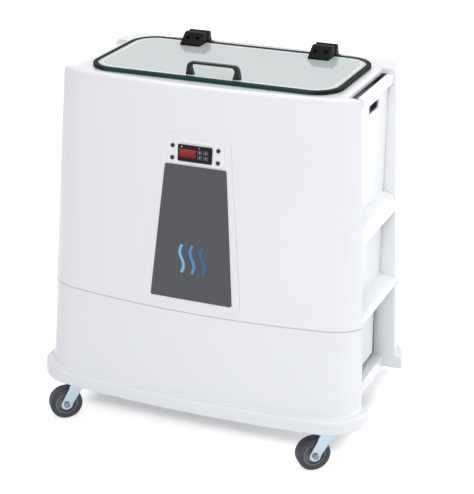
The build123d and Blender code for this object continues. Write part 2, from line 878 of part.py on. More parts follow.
with BuildPart() as drain_pipe:
    with BuildLine() as drain_path:
        FilletPolyline(
            (drain_x, tank_y, tank_under_z),
            (drain_x, tank_y, drain_z),
            (drain_x - 2 * drain_bend, drain_y, drain_z),
            (valve_start_x, drain_y, drain_z),
            radius=drain_bend,
        )
    with BuildSketch(Plane.XY.offset(tank_under_z)):
        with Locations((drain_x, tank_y)):
            Circle(drain_outer)
            Circle(drain_bore, mode=Mode.SUBTRACT)
    sweep(path=drain_path.line)
    with BuildSketch(Plane.XY.offset(tank_under_z - drain_flange_height)):
        with Locations((drain_x, tank_y)):
            Circle(drain_flange)
            Circle(drain_outer - joint_bite, mode=Mode.SUBTRACT)
    extrude(amount=drain_flange_height)
drain_pipe.part.label = "drain_pipe"
export_step(drain_pipe.part, "parts/drain_pipe.step")

with BuildPart() as drain_valve:
    with Locations(Location((valve_start_x, drain_y, drain_z), (0, -90, 0))):
        Cylinder(valve_radius, valve_length, align=(Align.CENTER, Align.CENTER, Align.MIN))
    fillet(drain_valve.edges(), valve_edge)
    with Locations(Location((valve_start_x, drain_y, drain_z), (0, -90, 0))):
        with BuildSketch(Plane(origin=(valve_start_x, drain_y, drain_z), z_dir=(-1, 0, 0))):
            RegularPolygon(valve_nut, 6)
        extrude(amount=valve_nut_length)
        Cylinder(
            spout_radius, valve_length + spout_length, align=(Align.CENTER, Align.CENTER, Align.MIN)
        )
        Cylinder(
            spout_bore,
            2 * (valve_length + spout_length),
            align=(Align.CENTER, Align.CENTER, Align.MIN),
            mode=Mode.SUBTRACT,
        )
    with Locations((lever_x, drain_y, stem_foot_z)):
        Cylinder(stem_collar, stem_rise, align=(Align.CENTER, Align.CENTER, Align.MIN))
        Cylinder(
            stem_radius + running_gap,
            2 * stem_rise,
            align=(Align.CENTER, Align.CENTER, Align.MIN),
            mode=Mode.SUBTRACT,
        )
drain_valve.part.label = "drain_valve"
export_step(drain_valve.part, "parts/drain_valve.step")

with BuildPart() as drain_lever:
    with BuildSketch(Plane.XY.offset(lever_z)):
        with Locations((lever_x, drain_y)):
            Circle(lever_boss)
        with Locations((lever_x, drain_y + lever_length / 2)):
            RectangleRounded(lever_width, lever_length, lever_corner)
    extrude(amount=lever_height)
    fillet(drain_lever.faces().sort_by(Axis.Z)[-1].edges(), lever_edge)
    with Locations((lever_x, drain_y, lever_z)):
        Cylinder(stem_radius, stem_rise, align=(Align.CENTER, Align.CENTER, Align.MAX))
drain_lever.part.label = "drain_lever"
export_step(drain_lever.part, "parts/drain_lever.step")

# ---------------------------------------------------------------- wire rack for the packs


def wire(start, end, radius):
    """Straight round wire between two points, added to the running part."""
    axis = Vector(*end) - Vector(*start)
    with BuildSketch(Plane(origin=start, z_dir=axis)) as section:
        RegularPolygon(radius, wire_sides)
    extrude(section.sketch, amount=axis.length)


with BuildPart() as pack_rack:
    for z in (rack_floor_z, rack_top_z):
        for sy in (1, -1):
            y = tank_y + sy * rack_half_y
            reach = rack_half_x + rack_overshoot
            wire((-reach, y, z), (reach, y, z), rack_rim_wire)
        for sx in (1, -1):
            x = sx * rack_half_x
            reach = rack_half_y + rack_overshoot
            wire((x, tank_y - reach, z), (x, tank_y + reach, z), rack_cross_wire)
    for sx in (1, -1):
        for sy in (1, -1):
            x, y = sx * rack_half_x, tank_y + sy * rack_half_y
            wire((x, y, tank_bottom_z), (x, y, rack_top_z), rack_leg_wire)
        for y in divider_wire_y:
            x, y = sx * rack_half_x, tank_y + y
            wire((x, y, rack_floor_z), (x, y, rack_top_z), rack_wire)
    for place in range(1, divider_count + 1):
        x = -rack_half_x + place * divider_pitch
        wire(
            (x, tank_y - rack_half_y, rack_floor_z),
            (x, tank_y + rack_half_y, rack_floor_z),
            rack_cross_wire,
        )
        for y in divider_wire_y:
            wire((x, tank_y + y, rack_floor_z), (x, tank_y + y, divider_top_z), rack_wire)
        wire(
            (x, tank_y + divider_wire_y[0] - rack_overshoot, divider_top_z),
            (x, tank_y + divider_wire_y[-1] + rack_overshoot, divider_top_z),
            rack_cross_wire,
        )
    for y in floor_wire_y:
        wire(
            (-rack_half_x, tank_y + y, rack_floor_z),
            (rack_half_x, tank_y + y, rack_floor_z),
            rack_rim_wire,
        )
pack_rack.part.label = "pack_rack"
export_step(pack_rack.part, "parts/pack_rack.step")

# ---------------------------------------------------------------- lid glass and seal


def lid_face(z, inset):
    """Rounded face on the lid's plan, offset inwards by inset."""
    with BuildSketch(Plane.XY.offset(z)) as face:
        with Locations((0, tank_y)):
            RectangleRounded(2 * (lid_half_x - inset), 2 * (lid_half_y - inset), lid_corner - inset)
    return face.sketch.faces()[0]


with BuildPart() as lid_glass:
    extrude(lid_face(glass_z, seal_side), amount=glass)
    with Locations(*[(x, handle_y, glass_z) for x in handle_x]):
        Cylinder(handle_bolt + bolt_gap, 4 * glass, mode=Mode.SUBTRACT)
    with Locations(*[(x, y, glass_z) for x, y in leaf_screws]):
        Cylinder(hinge_screw + bolt_gap, 4 * glass, mode=Mode.SUBTRACT)
lid_glass.part.label = "lid_glass"
export_step(lid_glass.part, "parts/lid_glass.step")

with BuildPart() as lid_seal:
    extrude(lid_face(seal_z, 0), amount=seal_top_z - seal_z)
    fillet(lid_seal.faces().sort_by(Axis.Z)[-1].edges(), 1.2)
    extrude(lid_face(seal_z - 1, seal_band), amount=seal_top_z - seal_z + 2, mode=Mode.SUBTRACT)
    extrude(lid_face(glass_z, seal_side), amount=glass, mode=Mode.SUBTRACT)
lid_seal.part.label = "lid_seal"
export_step(lid_seal.part, "parts/lid_seal.step")

# ---------------------------------------------------------------- lid handle
with BuildPart() as lid_handle:
    with BuildSketch(Plane.XZ.offset(-handle_y)):
        with BuildLine():
            outer_x = handle_spacing / 2 + handle_foot / 2
            Polyline(
                (fittings_shift - outer_x, handle_z),
                (fittings_shift - outer_x + handle_lean, handle_top_z),
                (fittings_shift + outer_x - handle_lean, handle_top_z),
                (fittings_shift + outer_x, handle_z),
                (fittings_shift + outer_x - handle_foot, handle_z),
                (fittings_shift + outer_x - handle_lean - handle_bar, handle_top_z - handle_bar),
                (fittings_shift - outer_x + handle_lean + handle_bar, handle_top_z - handle_bar),
                (fittings_shift - outer_x + handle_foot, handle_z),
                close=True,
            )
        make_face()
        fillet(vertices().group_by(Axis.Y)[-1], handle_corner)
        inner_corners = vertices().filter_by(lambda v: abs(v.Y - handle_top_z + handle_bar) < 0.1)
        fillet(inner_corners, handle_corner - handle_bar)
    extrude(amount=handle_depth / 2, both=True)
    upper_edges = lid_handle.edges().filter_by(lambda e: e.center().Z > handle_z + 0.1)
    side_edges = upper_edges.filter_by(lambda e: abs(abs(e.center().Y - handle_y) - handle_depth / 2) < 0.01)
    fillet(side_edges, handle_edge)
    with Locations(*[(x, handle_y, handle_z) for x in handle_x]):
        Cylinder(
            handle_bolt,
            handle_hole_depth,
            align=(Align.CENTER, Align.CENTER, Align.MIN),
            mode=Mode.SUBTRACT,
        )
lid_handle.part.label = "lid_handle"
export_step(lid_handle.part, "parts/lid_handle.step")

with BuildPart() as handle_washers:
    for x in handle_x:
        with Locations((x, handle_y, glass_top_z)):
            Cylinder(washer_radius, washer_height, align=(Align.CENTER, Align.CENTER, Align.MIN))
            Cylinder(handle_bolt + bolt_gap, 4 * washer_height, mode=Mode.SUBTRACT)
handle_washers.part.label = "handle_washers"
export_step(handle_washers.part, "parts/handle_washers.step")

with BuildPart() as handle_screws:
    for x in handle_x:
        with Locations((x, handle_y, glass_z - handle_head)):
            Cylinder(2 * handle_bolt, handle_head, align=(Align.CENTER, Align.CENTER, Align.MIN))
            Cylinder(
                handle_bolt,
                handle_head + glass + washer_height + handle_thread,
                align=(Align.CENTER, Align.CENTER, Align.MIN),
            )
handle_screws.part.label = "handle_screws"
export_step(handle_screws.part, "parts/handle_screws.step")

# ---------------------------------------------------------------- hinges


def hinge_leaf(x):
    """Lid half of a hinge: clamp block on the glass and the middle knuckle."""
    with BuildPart() as leaf:
        with BuildSketch(Plane.YZ.offset(x)):
            Polygon(
                (leaf_front_y, glass_top_z),
                (leaf_front_y, glass_top_z + leaf_nose),
                (leaf_crest_y, leaf_crest_z),
                (clamp_end_y, leaf_crest_z),
                (clamp_end_y, seal_top_z),
                (tank_y + lid_half_y - seal_band, seal_top_z),
                (tank_y + lid_half_y - seal_band, glass_top_z),
                align=None,
            )
        extrude(amount=hinge_width / 2, both=True)
        long_edges = leaf.edges().filter_by(Axis.X)
        fillet(long_edges.filter_by(lambda e: e.center().Z > leaf_crest_z - 1), leaf_crest_edge)
        nose_z = glass_top_z + leaf_nose
        long_edges = leaf.edges().filter_by(Axis.X)
        fillet(long_edges.filter_by(lambda e: abs(e.center().Z - nose_z) < 0.1), leaf_nose_edge)
        with BuildSketch(Plane.YZ.offset(x)):
            with Locations((hinge_axis_y, hinge_axis_z)):
                Circle(barrel)
            Polygon(
                (clamp_end_y - 2, leaf_crest_z - 3),
                (hinge_axis_y, hinge_axis_z + barrel),
                (hinge_axis_y, hinge_axis_z - barrel),
                (tank_y + lid_half_y - 2, seal_top_z),
                (clamp_end_y - 2, seal_top_z),
                align=None,
            )
        extrude(amount=middle_knuckle / 2, both=True)
        with BuildSketch(Plane.YZ.offset(x)):
            with Locations((hinge_axis_y, hinge_axis_z)):
                Circle(pin_radius + running_gap)
        extrude(amount=hinge_width, both=True, mode=Mode.SUBTRACT)
        screw_x = [x + side * hinge_screw_spread / 2 for side in (-1, 1)]
        with Locations(*[(place, leaf_screw_y, screw_seat_z) for place in screw_x]):
            Cylinder(
                hinge_screw_head + head_room,
                hole_reach,
                align=(Align.CENTER, Align.CENTER, Align.MIN),
                mode=Mode.SUBTRACT,
            )
            Cylinder(hinge_screw + screw_room, hole_reach, mode=Mode.SUBTRACT)
    return leaf.part


def hinge_base(x):
    """Cabinet half of a hinge: plate in the ledge with two end knuckles."""
    with BuildPart() as base:
        with BuildSketch(Plane.YZ.offset(x)):
            with Locations((hinge_axis_y, hinge_axis_z)):
                Circle(barrel)
            Polygon(
                (hinge_axis_y - base_leaf_front, ledge_z),
                (hinge_axis_y + base_web, ledge_z),
                (hinge_axis_y + barrel, hinge_axis_z),
                (hinge_axis_y - base_leaf_front, hinge_axis_z),
                align=None,
            )
        extrude(amount=hinge_width / 2, both=True)
        with Locations((x, hinge_axis_y, ledge_z + leaf_plate)):
            Box(
                middle_knuckle + 2 * knuckle_gap,
                6 * barrel,
                6 * barrel,
                align=(Align.CENTER, Align.CENTER, Align.MIN),
                mode=Mode.SUBTRACT,
            )
        with BuildSketch(Plane.XY.offset(ledge_z)):
            with Locations((x, (hinge_axis_y - base_leaf_front + base_leaf_back_y) / 2)):
                base_leaf_depth = base_leaf_back_y - hinge_axis_y + base_leaf_front
                RectangleRounded(hinge_width, base_leaf_depth, base_leaf_corner)
        extrude(amount=leaf_plate)
        with BuildSketch(Plane.YZ.offset(x)):
            with Locations((hinge_axis_y, hinge_axis_z)):
                Circle(pin_radius)
        extrude(amount=hinge_width, both=True, mode=Mode.SUBTRACT)
        with Locations(*[(x + side * hinge_screw_spread / 2, base_screw_y, ledge_z) for side in (-1, 1)]):
            Cylinder(hinge_screw + screw_room, hole_reach, mode=Mode.SUBTRACT)
    return base.part


for name, x in zip(("left", "right"), hinge_x):
    leaf = hinge_leaf(x)
    leaf.label = f"hinge_leaf_{name}"
    export_step(leaf, f"parts/hinge_leaf_{name}.step")
    base = hinge_base(x)
    base.label = f"hinge_base_{name}"
    export_step(base, f"parts/hinge_base_{name}.step")

with BuildPart() as hinge_pins:
    for x in hinge_x:
        with BuildSketch(Plane.YZ.offset(x)):
            with Locations((hinge_axis_y, hinge_axis_z)):
                Circle(pin_radius)
        extrude(amount=hinge_width / 2, both=True)
        for side in (-1, 1):
            with BuildSketch(Plane.YZ.offset(x + side * hinge_width / 2)):
                with Locations((hinge_axis_y, hinge_axis_z)):
                    Circle(pin_head)
            extrude(amount=side * pin_head_height)
hinge_pins.part.label = "hinge_pins"
export_step(hinge_pins.part, "parts/hinge_pins.step")

with BuildPart() as hinge_clamp_plates:
    for x in hinge_x:
        with BuildSketch(Plane.XY.offset(glass_z - clamp_plate)):
            with Locations((x, (clamp_front_y + clamp_back_y) / 2)):
                RectangleRounded(hinge_width, clamp_back_y - clamp_front_y, clamp_corner)
        extrude(amount=clamp_plate)
    with Locations(*[(x, y, glass_z) for x, y in leaf_screws]):
        Cylinder(hinge_screw, 4 * clamp_plate, mode=Mode.SUBTRACT)
hinge_clamp_plates.part.label = "hinge_clamp_plates"
export_step(hinge_clamp_plates.part, "parts/hinge_clamp_plates.step")


def cap_screw(x, y, seat_z, head_radius, head_height, shank, length):
    """Vertical screw with its head standing on seat_z."""
    with Locations((x, y, seat_z)):
        Cylinder(head_radius, head_height, align=(Align.CENTER, Align.CENTER, Align.MIN))
        Cylinder(shank, length, align=(Align.CENTER, Align.CENTER, Align.MAX))


with BuildPart() as hinge_leaf_screws:
    leaf_screw_length = screw_seat_z - glass_z + clamp_plate
    for x, y in leaf_screws:
        cap_screw(
            x, y, screw_seat_z, hinge_screw_head, leaf_screw_head_height, hinge_screw, leaf_screw_length
        )
hinge_leaf_screws.part.label = "hinge_leaf_screws"
export_step(hinge_leaf_screws.part, "parts/hinge_leaf_screws.step")

with BuildPart() as hinge_base_screws:
    for x in hinge_x:
        for side in (-1, 1):
            cap_screw(
                x + side * hinge_screw_spread / 2,
                base_screw_y,
                ledge_z + leaf_plate,
                hinge_screw_head,
                base_screw_head_height,
                hinge_screw,
                base_screw_length,
            )
hinge_base_screws.part.label = "hinge_base_screws"
export_step(hinge_base_screws.part, "parts/hinge_base_screws.step")

# ---------------------------------------------------------------- console

with BuildPart() as console_bezel:
    with BuildSketch(pad_face):
        RectangleRounded(bezel_width, bezel_height, bezel_radius)
    extrude(amount=bezel_thickness)
    fillet(console_bezel.faces().sort_by(face_axis)[-1].edges(), 1.8)
    with BuildSketch(pad_face):
        Rectangle(case_hole_width, case_hole_height)
        with Locations(*bezel_screws_at):
            Circle(bezel_screw)
    extrude(amount=2 * bezel_thickness, mode=Mode.SUBTRACT)
console_bezel.part.label = "console_bezel"
export_step(console_bezel.part, "parts/console_bezel.step")

with BuildPart() as bezel_screws:
    with BuildSketch(bezel_face):
        with Locations(*bezel_screws_at):
            Circle(bezel_screw_head)
    extrude(amount=bezel_screw_height)
    with BuildSketch(bezel_face):
        with Locations(*bezel_screws_at):
            Circle(bezel_screw)
    extrude(amount=-bezel_screw_length)
bezel_screws.part.label = "bezel_screws"
export_step(bezel_screws.part, "parts/bezel_screws.step")

with BuildPart() as controller_case:
    with BuildSketch(bezel_face):
        RectangleRounded(case_width, case_height, 2.0)
    extrude(amount=case_flange)
    fillet(controller_case.faces().sort_by(face_axis)[-1].edges(), 1.2)
    with BuildSketch(bezel_face):
        RectangleRounded(case_body_width, case_body_height, 1.0)
    extrude(amount=-case_body_depth)
    with BuildSketch(case_face):
        with Locations((screen_x, 0)):
            RectangleRounded(screen_width, screen_height, 1.5)
    extrude(amount=-screen_depth, mode=Mode.SUBTRACT)
    with BuildSketch(case_face):
        with Locations(*keys_at):
            RectangleRounded(key_width + 2 * key_gap, key_height + 2 * key_gap, 1.2)
    extrude(amount=-(key_depth + key_travel + key_stop), mode=Mode.SUBTRACT)
controller_case.part.label = "controller_case"
export_step(controller_case.part, "parts/controller_case.step")

with BuildPart() as display_window:
    with BuildSketch(case_face.offset(-screen_depth)):
        with Locations((screen_x, 0)):
            RectangleRounded(screen_width, screen_height, 1.5)
    extrude(amount=screen_depth - 0.2)
display_window.part.label = "display_window"
export_step(display_window.part, "parts/display_window.step")

for name, (x, y) in zip(("down", "up", "set", "power"), keys_at):
    with BuildPart() as key:
        with BuildSketch(case_face.offset(-key_depth)):
            with Locations((x, y)):
                RectangleRounded(key_width, key_height, 1.0)
        extrude(amount=key_length)
        fillet(key.faces().sort_by(face_axis)[-1].edges(), 0.5)
    key.part.label = f"key_{name}"
    export_step(key.part, f"parts/key_{name}.step")

with BuildPart() as front_plate:
    with BuildSketch(pad_face):
        Polygon(
            (-plate_half_bottom, plate_bottom),
            (plate_half_bottom, plate_bottom),
            (plate_half_top, plate_top),
            (-plate_half_top, plate_top),
            align=None,
        )
        fillet(vertices(), plate_corner)
    extrude(amount=plate_sheet)
front_plate.part.label = "front_plate"
export_step(front_plate.part, "parts/front_plate.step")

# ---------------------------------------------------------------- rear service cover
with BuildPart() as service_cover:
    with BuildSketch(cover_face):
        RectangleRounded(cover_width, cover_height, cover_corner)
        with Locations(*cover_screws_at):
            Circle(cover_screw, mode=Mode.SUBTRACT)
    extrude(amount=cover_sheet)
    vent_count = 9
    with BuildSketch(cover_face):
        with GridLocations(18, 1, vent_count, 1):
            SlotOverall(44, 5, rotation=90)
    extrude(amount=2 * cover_sheet, mode=Mode.SUBTRACT)
service_cover.part.label = "service_cover"
export_step(service_cover.part, "parts/service_cover.step")

with BuildPart() as cover_screws:
    with BuildSketch(cover_face.offset(cover_sheet)):
        with Locations(*cover_screws_at):
            Circle(cover_screw_head)
    extrude(amount=cover_screw_height)
    with BuildSketch(cover_face.offset(cover_sheet)):
        with Locations(*cover_screws_at):
            Circle(cover_screw)
    extrude(amount=-12)
cover_screws.part.label = "cover_screws"
export_step(cover_screws.part, "parts/cover_screws.step")

# ---------------------------------------------------------------- cable gland
with BuildPart() as cable_gland:
    with BuildSketch(gland_rear):
        RegularPolygon(gland_hex, 6)
    extrude(amount=gland_hex_length)
    with BuildSketch(gland_rear.offset(gland_hex_length)):
        Circle(gland_hex - 1.5)
    extrude(amount=gland_nut_length)
    fillet(cable_gland.faces().sort_by(Axis.Y)[-1].edges(), 3)
    with BuildSketch(gland_rear):
        Circle(gland_thread)
    extrude(amount=-(gland_face_y - gland_back_y + gland_tail))
    with BuildSketch(gland_rear.offset(gland_back_y - gland_face_y)):
        RegularPolygon(gland_hex, 6)
    extrude(amount=-gland_hex_length)
    with BuildSketch(gland_rear):
        Circle(gland_bore)
    extrude(amount=60, both=True, mode=Mode.SUBTRACT)
cable_gland.part.label = "cable_gland"
export_step(cable_gland.part, "parts/cable_gland.step")

# ---------------------------------------------------------------- casters

with BuildPart() as caster_mounts:
    for x, y in places.values():
        with BuildSketch(Plane.XY.offset(lip_z - caster_plate)):
            with Locations((x, y)):
                RectangleRounded(caster_plate_length, caster_plate_width, caster_plate_corner)
                with GridLocations(2 * bolt_circle[0], 2 * bolt_circle[1], 2, 2):
                    Circle(caster_bolt, mode=Mode.SUBTRACT)
        extrude(amount=caster_plate)
        with Locations((x, y, race_bottom_z)):
            Cylinder(race_radius, race_height, align=(Align.CENTER, Align.CENTER, Align.MIN))
        with Locations((x, y, crown_top_z - crown_sheet - race_gap)):
            Cylinder(kingpin, 3 * race_gap + crown_sheet, align=(Align.CENTER, Align.CENTER, Align.MIN))
            Cylinder(rivet_radius, rivet_height, align=(Align.CENTER, Align.CENTER, Align.MAX))
caster_mounts.part.label = "caster_mounts"
export_step(caster_mounts.part, "parts/caster_mounts.step")

with BuildPart() as caster_bolts:
    for x, y in places.values():
        with BuildSketch(Plane.XY.offset(lip_z - caster_plate)):
            with Locations((x, y)):
                with GridLocations(2 * bolt_circle[0], 2 * bolt_circle[1], 2, 2):
                    RegularPolygon(caster_bolt_head, 6)
        extrude(amount=-caster_bolt_head_height)
        with BuildSketch(Plane.XY.offset(lip_z - caster_plate)):
            with Locations((x, y)):
                with GridLocations(2 * bolt_circle[0], 2 * bolt_circle[1], 2, 2):
                    Circle(caster_bolt)
        extrude(amount=caster_plate + wall + plate_thickness + caster_bolt_end)
caster_bolts.part.label = "caster_bolts"
export_step(caster_bolts.part, "parts/caster_bolts.step")

for name, (x, y) in places.items():
    side_plane = Plane(origin=(x, y, 0), x_dir=trail_way, z_dir=axle_way)
    axle_plane = Plane(
        origin=(x + caster_trail * cos(heading), y + caster_trail * sin(heading), axle_z),
        x_dir=trail_way,
        z_dir=axle_way,
    )
    with BuildPart() as caster_fork:
        with Locations((x, y, crown_top_z)):
            Cylinder(crown_radius, crown_sheet, align=(Align.CENTER, Align.CENTER, Align.MAX))
            Cylinder(kingpin + running_gap, 4 * crown_sheet, mode=Mode.SUBTRACT)
        for face in (1, -1):
            with BuildSketch(side_plane.offset(face * leg_half)):
                Polygon(
                    (-fork_top_back, crown_top_z),
                    (fork_top_front, crown_top_z),
                    (caster_trail + fork_foot_radius, axle_z + fork_foot_rise),
                    (caster_trail - fork_foot_radius, axle_z),
                    align=None,
                )
                with Locations((caster_trail, axle_z)):
                    Circle(fork_foot_radius)
                    Circle(axle_radius, mode=Mode.SUBTRACT)
            extrude(amount=face * fork_sheet)
    caster_fork.part.label = f"caster_fork_{name}"
    export_step(caster_fork.part, f"parts/caster_fork_{name}.step")

    with BuildPart() as caster_axle:
        with BuildSketch(axle_plane):
            Circle(axle_radius)
        extrude(amount=leg_half + fork_sheet + axle_end, both=True)
        with BuildSketch(axle_plane.offset(leg_half + fork_sheet)):
            RegularPolygon(axle_nut, 6)
        extrude(amount=axle_nut_height)
        with BuildSketch(axle_plane.offset(-leg_half - fork_sheet)):
            RegularPolygon(axle_head, 6)
        extrude(amount=-axle_head_height)
    caster_axle.part.label = f"caster_axle_{name}"
    export_step(caster_axle.part, f"parts/caster_axle_{name}.step")

    with BuildPart() as caster_hub:
        with BuildSketch(axle_plane.offset(-tyre_width / 2 + hub_inset)):
            Circle(hub_radius)
        extrude(amount=tyre_width - 2 * hub_inset)
        for face in (1, -1):
            with BuildSketch(axle_plane.offset(face * (tyre_width / 2 - hub_inset))):
                Circle(hub_radius - hub_rim)
                Circle(hub_boss, mode=Mode.SUBTRACT)
            extrude(amount=-face * hub_recess, mode=Mode.SUBTRACT)
        with BuildSketch(axle_plane.offset(-hub_half)):
            Circle(hub_bush)
        extrude(amount=2 * hub_half)
        with BuildSketch(axle_plane):
            Circle(axle_radius + running_gap)
        extrude(amount=2 * hub_half, both=True, mode=Mode.SUBTRACT)
    caster_hub.part.label = f"caster_hub_{name}"
    export_step(caster_hub.part, f"parts/caster_hub_{name}.step")

    with BuildPart() as caster_tyre:
        with BuildSketch(axle_plane.offset(-tyre_width / 2)):
            Circle(wheel_radius)
        extrude(amount=tyre_width)
        fillet(caster_tyre.edges(), tyre_crown)
        with BuildSketch(axle_plane):
            Circle(hub_radius)
        extrude(amount=tyre_width, both=True, mode=Mode.SUBTRACT)
    caster_tyre.part.label = f"caster_tyre_{name}"
    export_step(caster_tyre.part, f"parts/caster_tyre_{name}.step")
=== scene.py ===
"""Looks of the hot pack heater: materials, small detail pieces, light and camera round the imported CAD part.

Lengths are in metres unless a name or comment says millimetres. X runs to the right seen from the front,
Y from front to back and Z up.
"""

import json

from math import cos, hypot, pi, radians, sin

import bmesh
import bpy
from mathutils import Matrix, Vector


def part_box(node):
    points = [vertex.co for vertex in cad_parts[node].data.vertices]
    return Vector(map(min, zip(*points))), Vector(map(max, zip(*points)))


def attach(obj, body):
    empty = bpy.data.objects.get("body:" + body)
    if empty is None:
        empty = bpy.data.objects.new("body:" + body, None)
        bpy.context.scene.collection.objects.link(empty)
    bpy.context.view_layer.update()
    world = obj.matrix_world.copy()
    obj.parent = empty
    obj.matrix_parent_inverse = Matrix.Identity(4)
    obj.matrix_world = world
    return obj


MM = 0.001
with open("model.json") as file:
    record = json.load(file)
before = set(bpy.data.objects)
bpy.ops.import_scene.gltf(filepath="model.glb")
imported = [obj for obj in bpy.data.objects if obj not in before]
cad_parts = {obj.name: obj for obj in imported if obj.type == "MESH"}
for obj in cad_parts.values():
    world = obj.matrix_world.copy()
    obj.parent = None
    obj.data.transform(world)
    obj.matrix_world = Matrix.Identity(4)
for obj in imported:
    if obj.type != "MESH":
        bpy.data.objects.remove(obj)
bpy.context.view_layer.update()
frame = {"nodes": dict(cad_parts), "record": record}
scene = bpy.context.scene
node = frame["nodes"]
slot_of = {part["node"]: part["material_slot"] for part in frame["record"]["subparts"]}


# ---------------------------------------------------------------- materials
COAT_ROUGHNESS = 0.08
GRAIN_DETAIL = 3.0
GRAIN_DEPTH = 0.0006
MOTTLE_SIZE = 9.0
STREAK_SIZE = 3.0
STREAK_STRENGTH = 0.12
STREAK_DEPTH = 0.0004
STREAK_ALONG = 4.0
STREAK_ACROSS = 260.0
HAZE_ROUGHNESS = 0.4
HAZE_MOTTLE = 0.05
GLASS_ROUGHNESS = 0.02
GLASS_IOR = 1.6


def nodes_of(material):
    """Nodes and links of a material."""
    tree = material.node_tree
    return tree.nodes, tree.links


def surface(name, colour, rough, metal=0.0, coat=0.0, grain=0.0, grain_size=400.0, mottle=0.0, shine=0.5):
    """Principled material with an optional fine bump (grain) and a slow change of roughness (mottle)."""
    material = bpy.data.materials.new(name)
    material.use_nodes = True
    nodes, links = nodes_of(material)
    shader = nodes["Principled BSDF"]
    shader.inputs["Base Color"].default_value = (*colour, 1)
    shader.inputs["Roughness"].default_value = rough
    shader.inputs["Metallic"].default_value = metal
    shader.inputs["Specular IOR Level"].default_value = shine
    shader.inputs["Coat Weight"].default_value = coat
    shader.inputs["Coat Roughness"].default_value = COAT_ROUGHNESS
    place = nodes.new("ShaderNodeTexCoord")
    if grain:
        noise = nodes.new("ShaderNodeTexNoise")
        noise.inputs["Scale"].default_value = grain_size
        noise.inputs["Detail"].default_value = GRAIN_DETAIL
        bump = nodes.new("ShaderNodeBump")
        bump.inputs["Strength"].default_value = grain
        bump.inputs["Distance"].default_value = GRAIN_DEPTH
        links.new(place.outputs["Object"], noise.inputs["Vector"])
        links.new(noise.outputs["Fac"], bump.inputs["Height"])
        links.new(bump.outputs["Normal"], shader.inputs["Normal"])
    if mottle:
        cloud = nodes.new("ShaderNodeTexNoise")
        cloud.inputs["Scale"].default_value = MOTTLE_SIZE
        spread = nodes.new("ShaderNodeMapRange")
        spread.inputs["To Min"].default_value = max(0.0, rough - mottle)
        spread.inputs["To Max"].default_value = min(1.0, rough + mottle)
        links.new(place.outputs["Object"], cloud.inputs["Vector"])
        links.new(cloud.outputs["Fac"], spread.inputs["Value"])
        links.new(spread.outputs["Result"], shader.inputs["Roughness"])
    return material


def coordinates(nodes, links):
    """Object coordinates of a shading point as three sockets, with x taken from the middle outwards."""
    place = nodes.new("ShaderNodeTexCoord")
    parts = nodes.new("ShaderNodeSeparateXYZ")
    outward = nodes.new("ShaderNodeMath")
    outward.operation = "ABSOLUTE"
    links.new(place.outputs["Object"], parts.inputs["Vector"])
    links.new(parts.outputs["X"], outward.inputs[0])
    return outward.outputs["Value"], parts.outputs["Y"], parts.outputs["Z"]


def repaint(material, amount, colour):
    """Change a material's base colour to another where the amount socket is 1."""
    nodes, links = nodes_of(material)
    base = nodes["Principled BSDF"].inputs["Base Color"]
    paint = nodes.new("ShaderNodeMix")
    paint.data_type = "RGBA"
    if base.is_linked:
        links.new(base.links[0].from_socket, paint.inputs["A"])
    else:
        paint.inputs["A"].default_value = base.default_value[:]
    paint.inputs["B"].default_value = (*colour, 1)
    links.new(amount, paint.inputs["Factor"])
    links.new(paint.outputs["Result"], base)


def shaded_hollow(material, low, high, colour):
    """Second colour inside a box, and inside its mirror image on the left."""
    nodes, links = nodes_of(material)
    total = None
    for socket, start, end in zip(coordinates(nodes, links), low, high):
        for operation, limit in (("GREATER_THAN", start), ("LESS_THAN", end)):
            test = nodes.new("ShaderNodeMath")
            test.operation = operation
            test.inputs[1].default_value = limit
            links.new(socket, test.inputs[0])
            if total:
                both = nodes.new("ShaderNodeMath")
                both.operation = "MULTIPLY"
                links.new(total, both.inputs[0])
                links.new(test.outputs["Value"], both.inputs[1])
                total = both.outputs["Value"]
            else:
                total = test.outputs["Value"]
    repaint(material, total, colour)


def fading(material, axis, start, end, colour):
    """Second colour that takes over between two places along one axis: 0 is X, 1 is Y and 2 is Z."""
    nodes, links = nodes_of(material)
    fade = nodes.new("ShaderNodeMapRange")
    fade.inputs["From Min"].default_value = start
    fade.inputs["From Max"].default_value = end
    links.new(coordinates(nodes, links)[axis], fade.inputs["Value"])
    repaint(material, fade.outputs["Result"], colour)


def seam_shade(material, height, half_width, colour):
    """Painted shade along the joint line at one height, soft at its edges."""
    nodes, links = nodes_of(material)
    offset = nodes.new("ShaderNodeMath")
    offset.operation = "SUBTRACT"
    offset.inputs[1].default_value = height
    away = nodes.new("ShaderNodeMath")
    away.operation = "ABSOLUTE"
    near = nodes.new("ShaderNodeMapRange")
    near.interpolation_type = "SMOOTHSTEP"
    near.inputs["From Min"].default_value = half_width
    near.inputs["From Max"].default_value = 0.0
    links.new(coordinates(nodes, links)[2], offset.inputs[0])
    links.new(offset.outputs["Value"], away.inputs[0])
    links.new(away.outputs["Value"], near.inputs["Value"])
    repaint(material, near.outputs["Result"], colour)


def brushed(name, colour, rough, along, metal=1.0):
    """Metal with fine streaks along one axis."""
    material = surface(name, colour, rough, metal=metal)
    nodes, links = nodes_of(material)
    place = nodes.new("ShaderNodeTexCoord")
    stretch = nodes.new("ShaderNodeMapping")
    stretch.inputs["Scale"].default_value = [STREAK_ALONG if axis == along else STREAK_ACROSS for axis in "XYZ"]
    streaks = nodes.new("ShaderNodeTexNoise")
    streaks.inputs["Scale"].default_value = STREAK_SIZE
    bump = nodes.new("ShaderNodeBump")
    bump.inputs["Strength"].default_value = STREAK_STRENGTH
    bump.inputs["Distance"].default_value = STREAK_DEPTH
    links.new(place.outputs["Object"], stretch.inputs["Vector"])
    links.new(stretch.outputs["Vector"], streaks.inputs["Vector"])
    links.new(streaks.outputs["Fac"], bump.inputs["Height"])
    links.new(bump.outputs["Normal"], nodes["Principled BSDF"].inputs["Normal"])
    return material


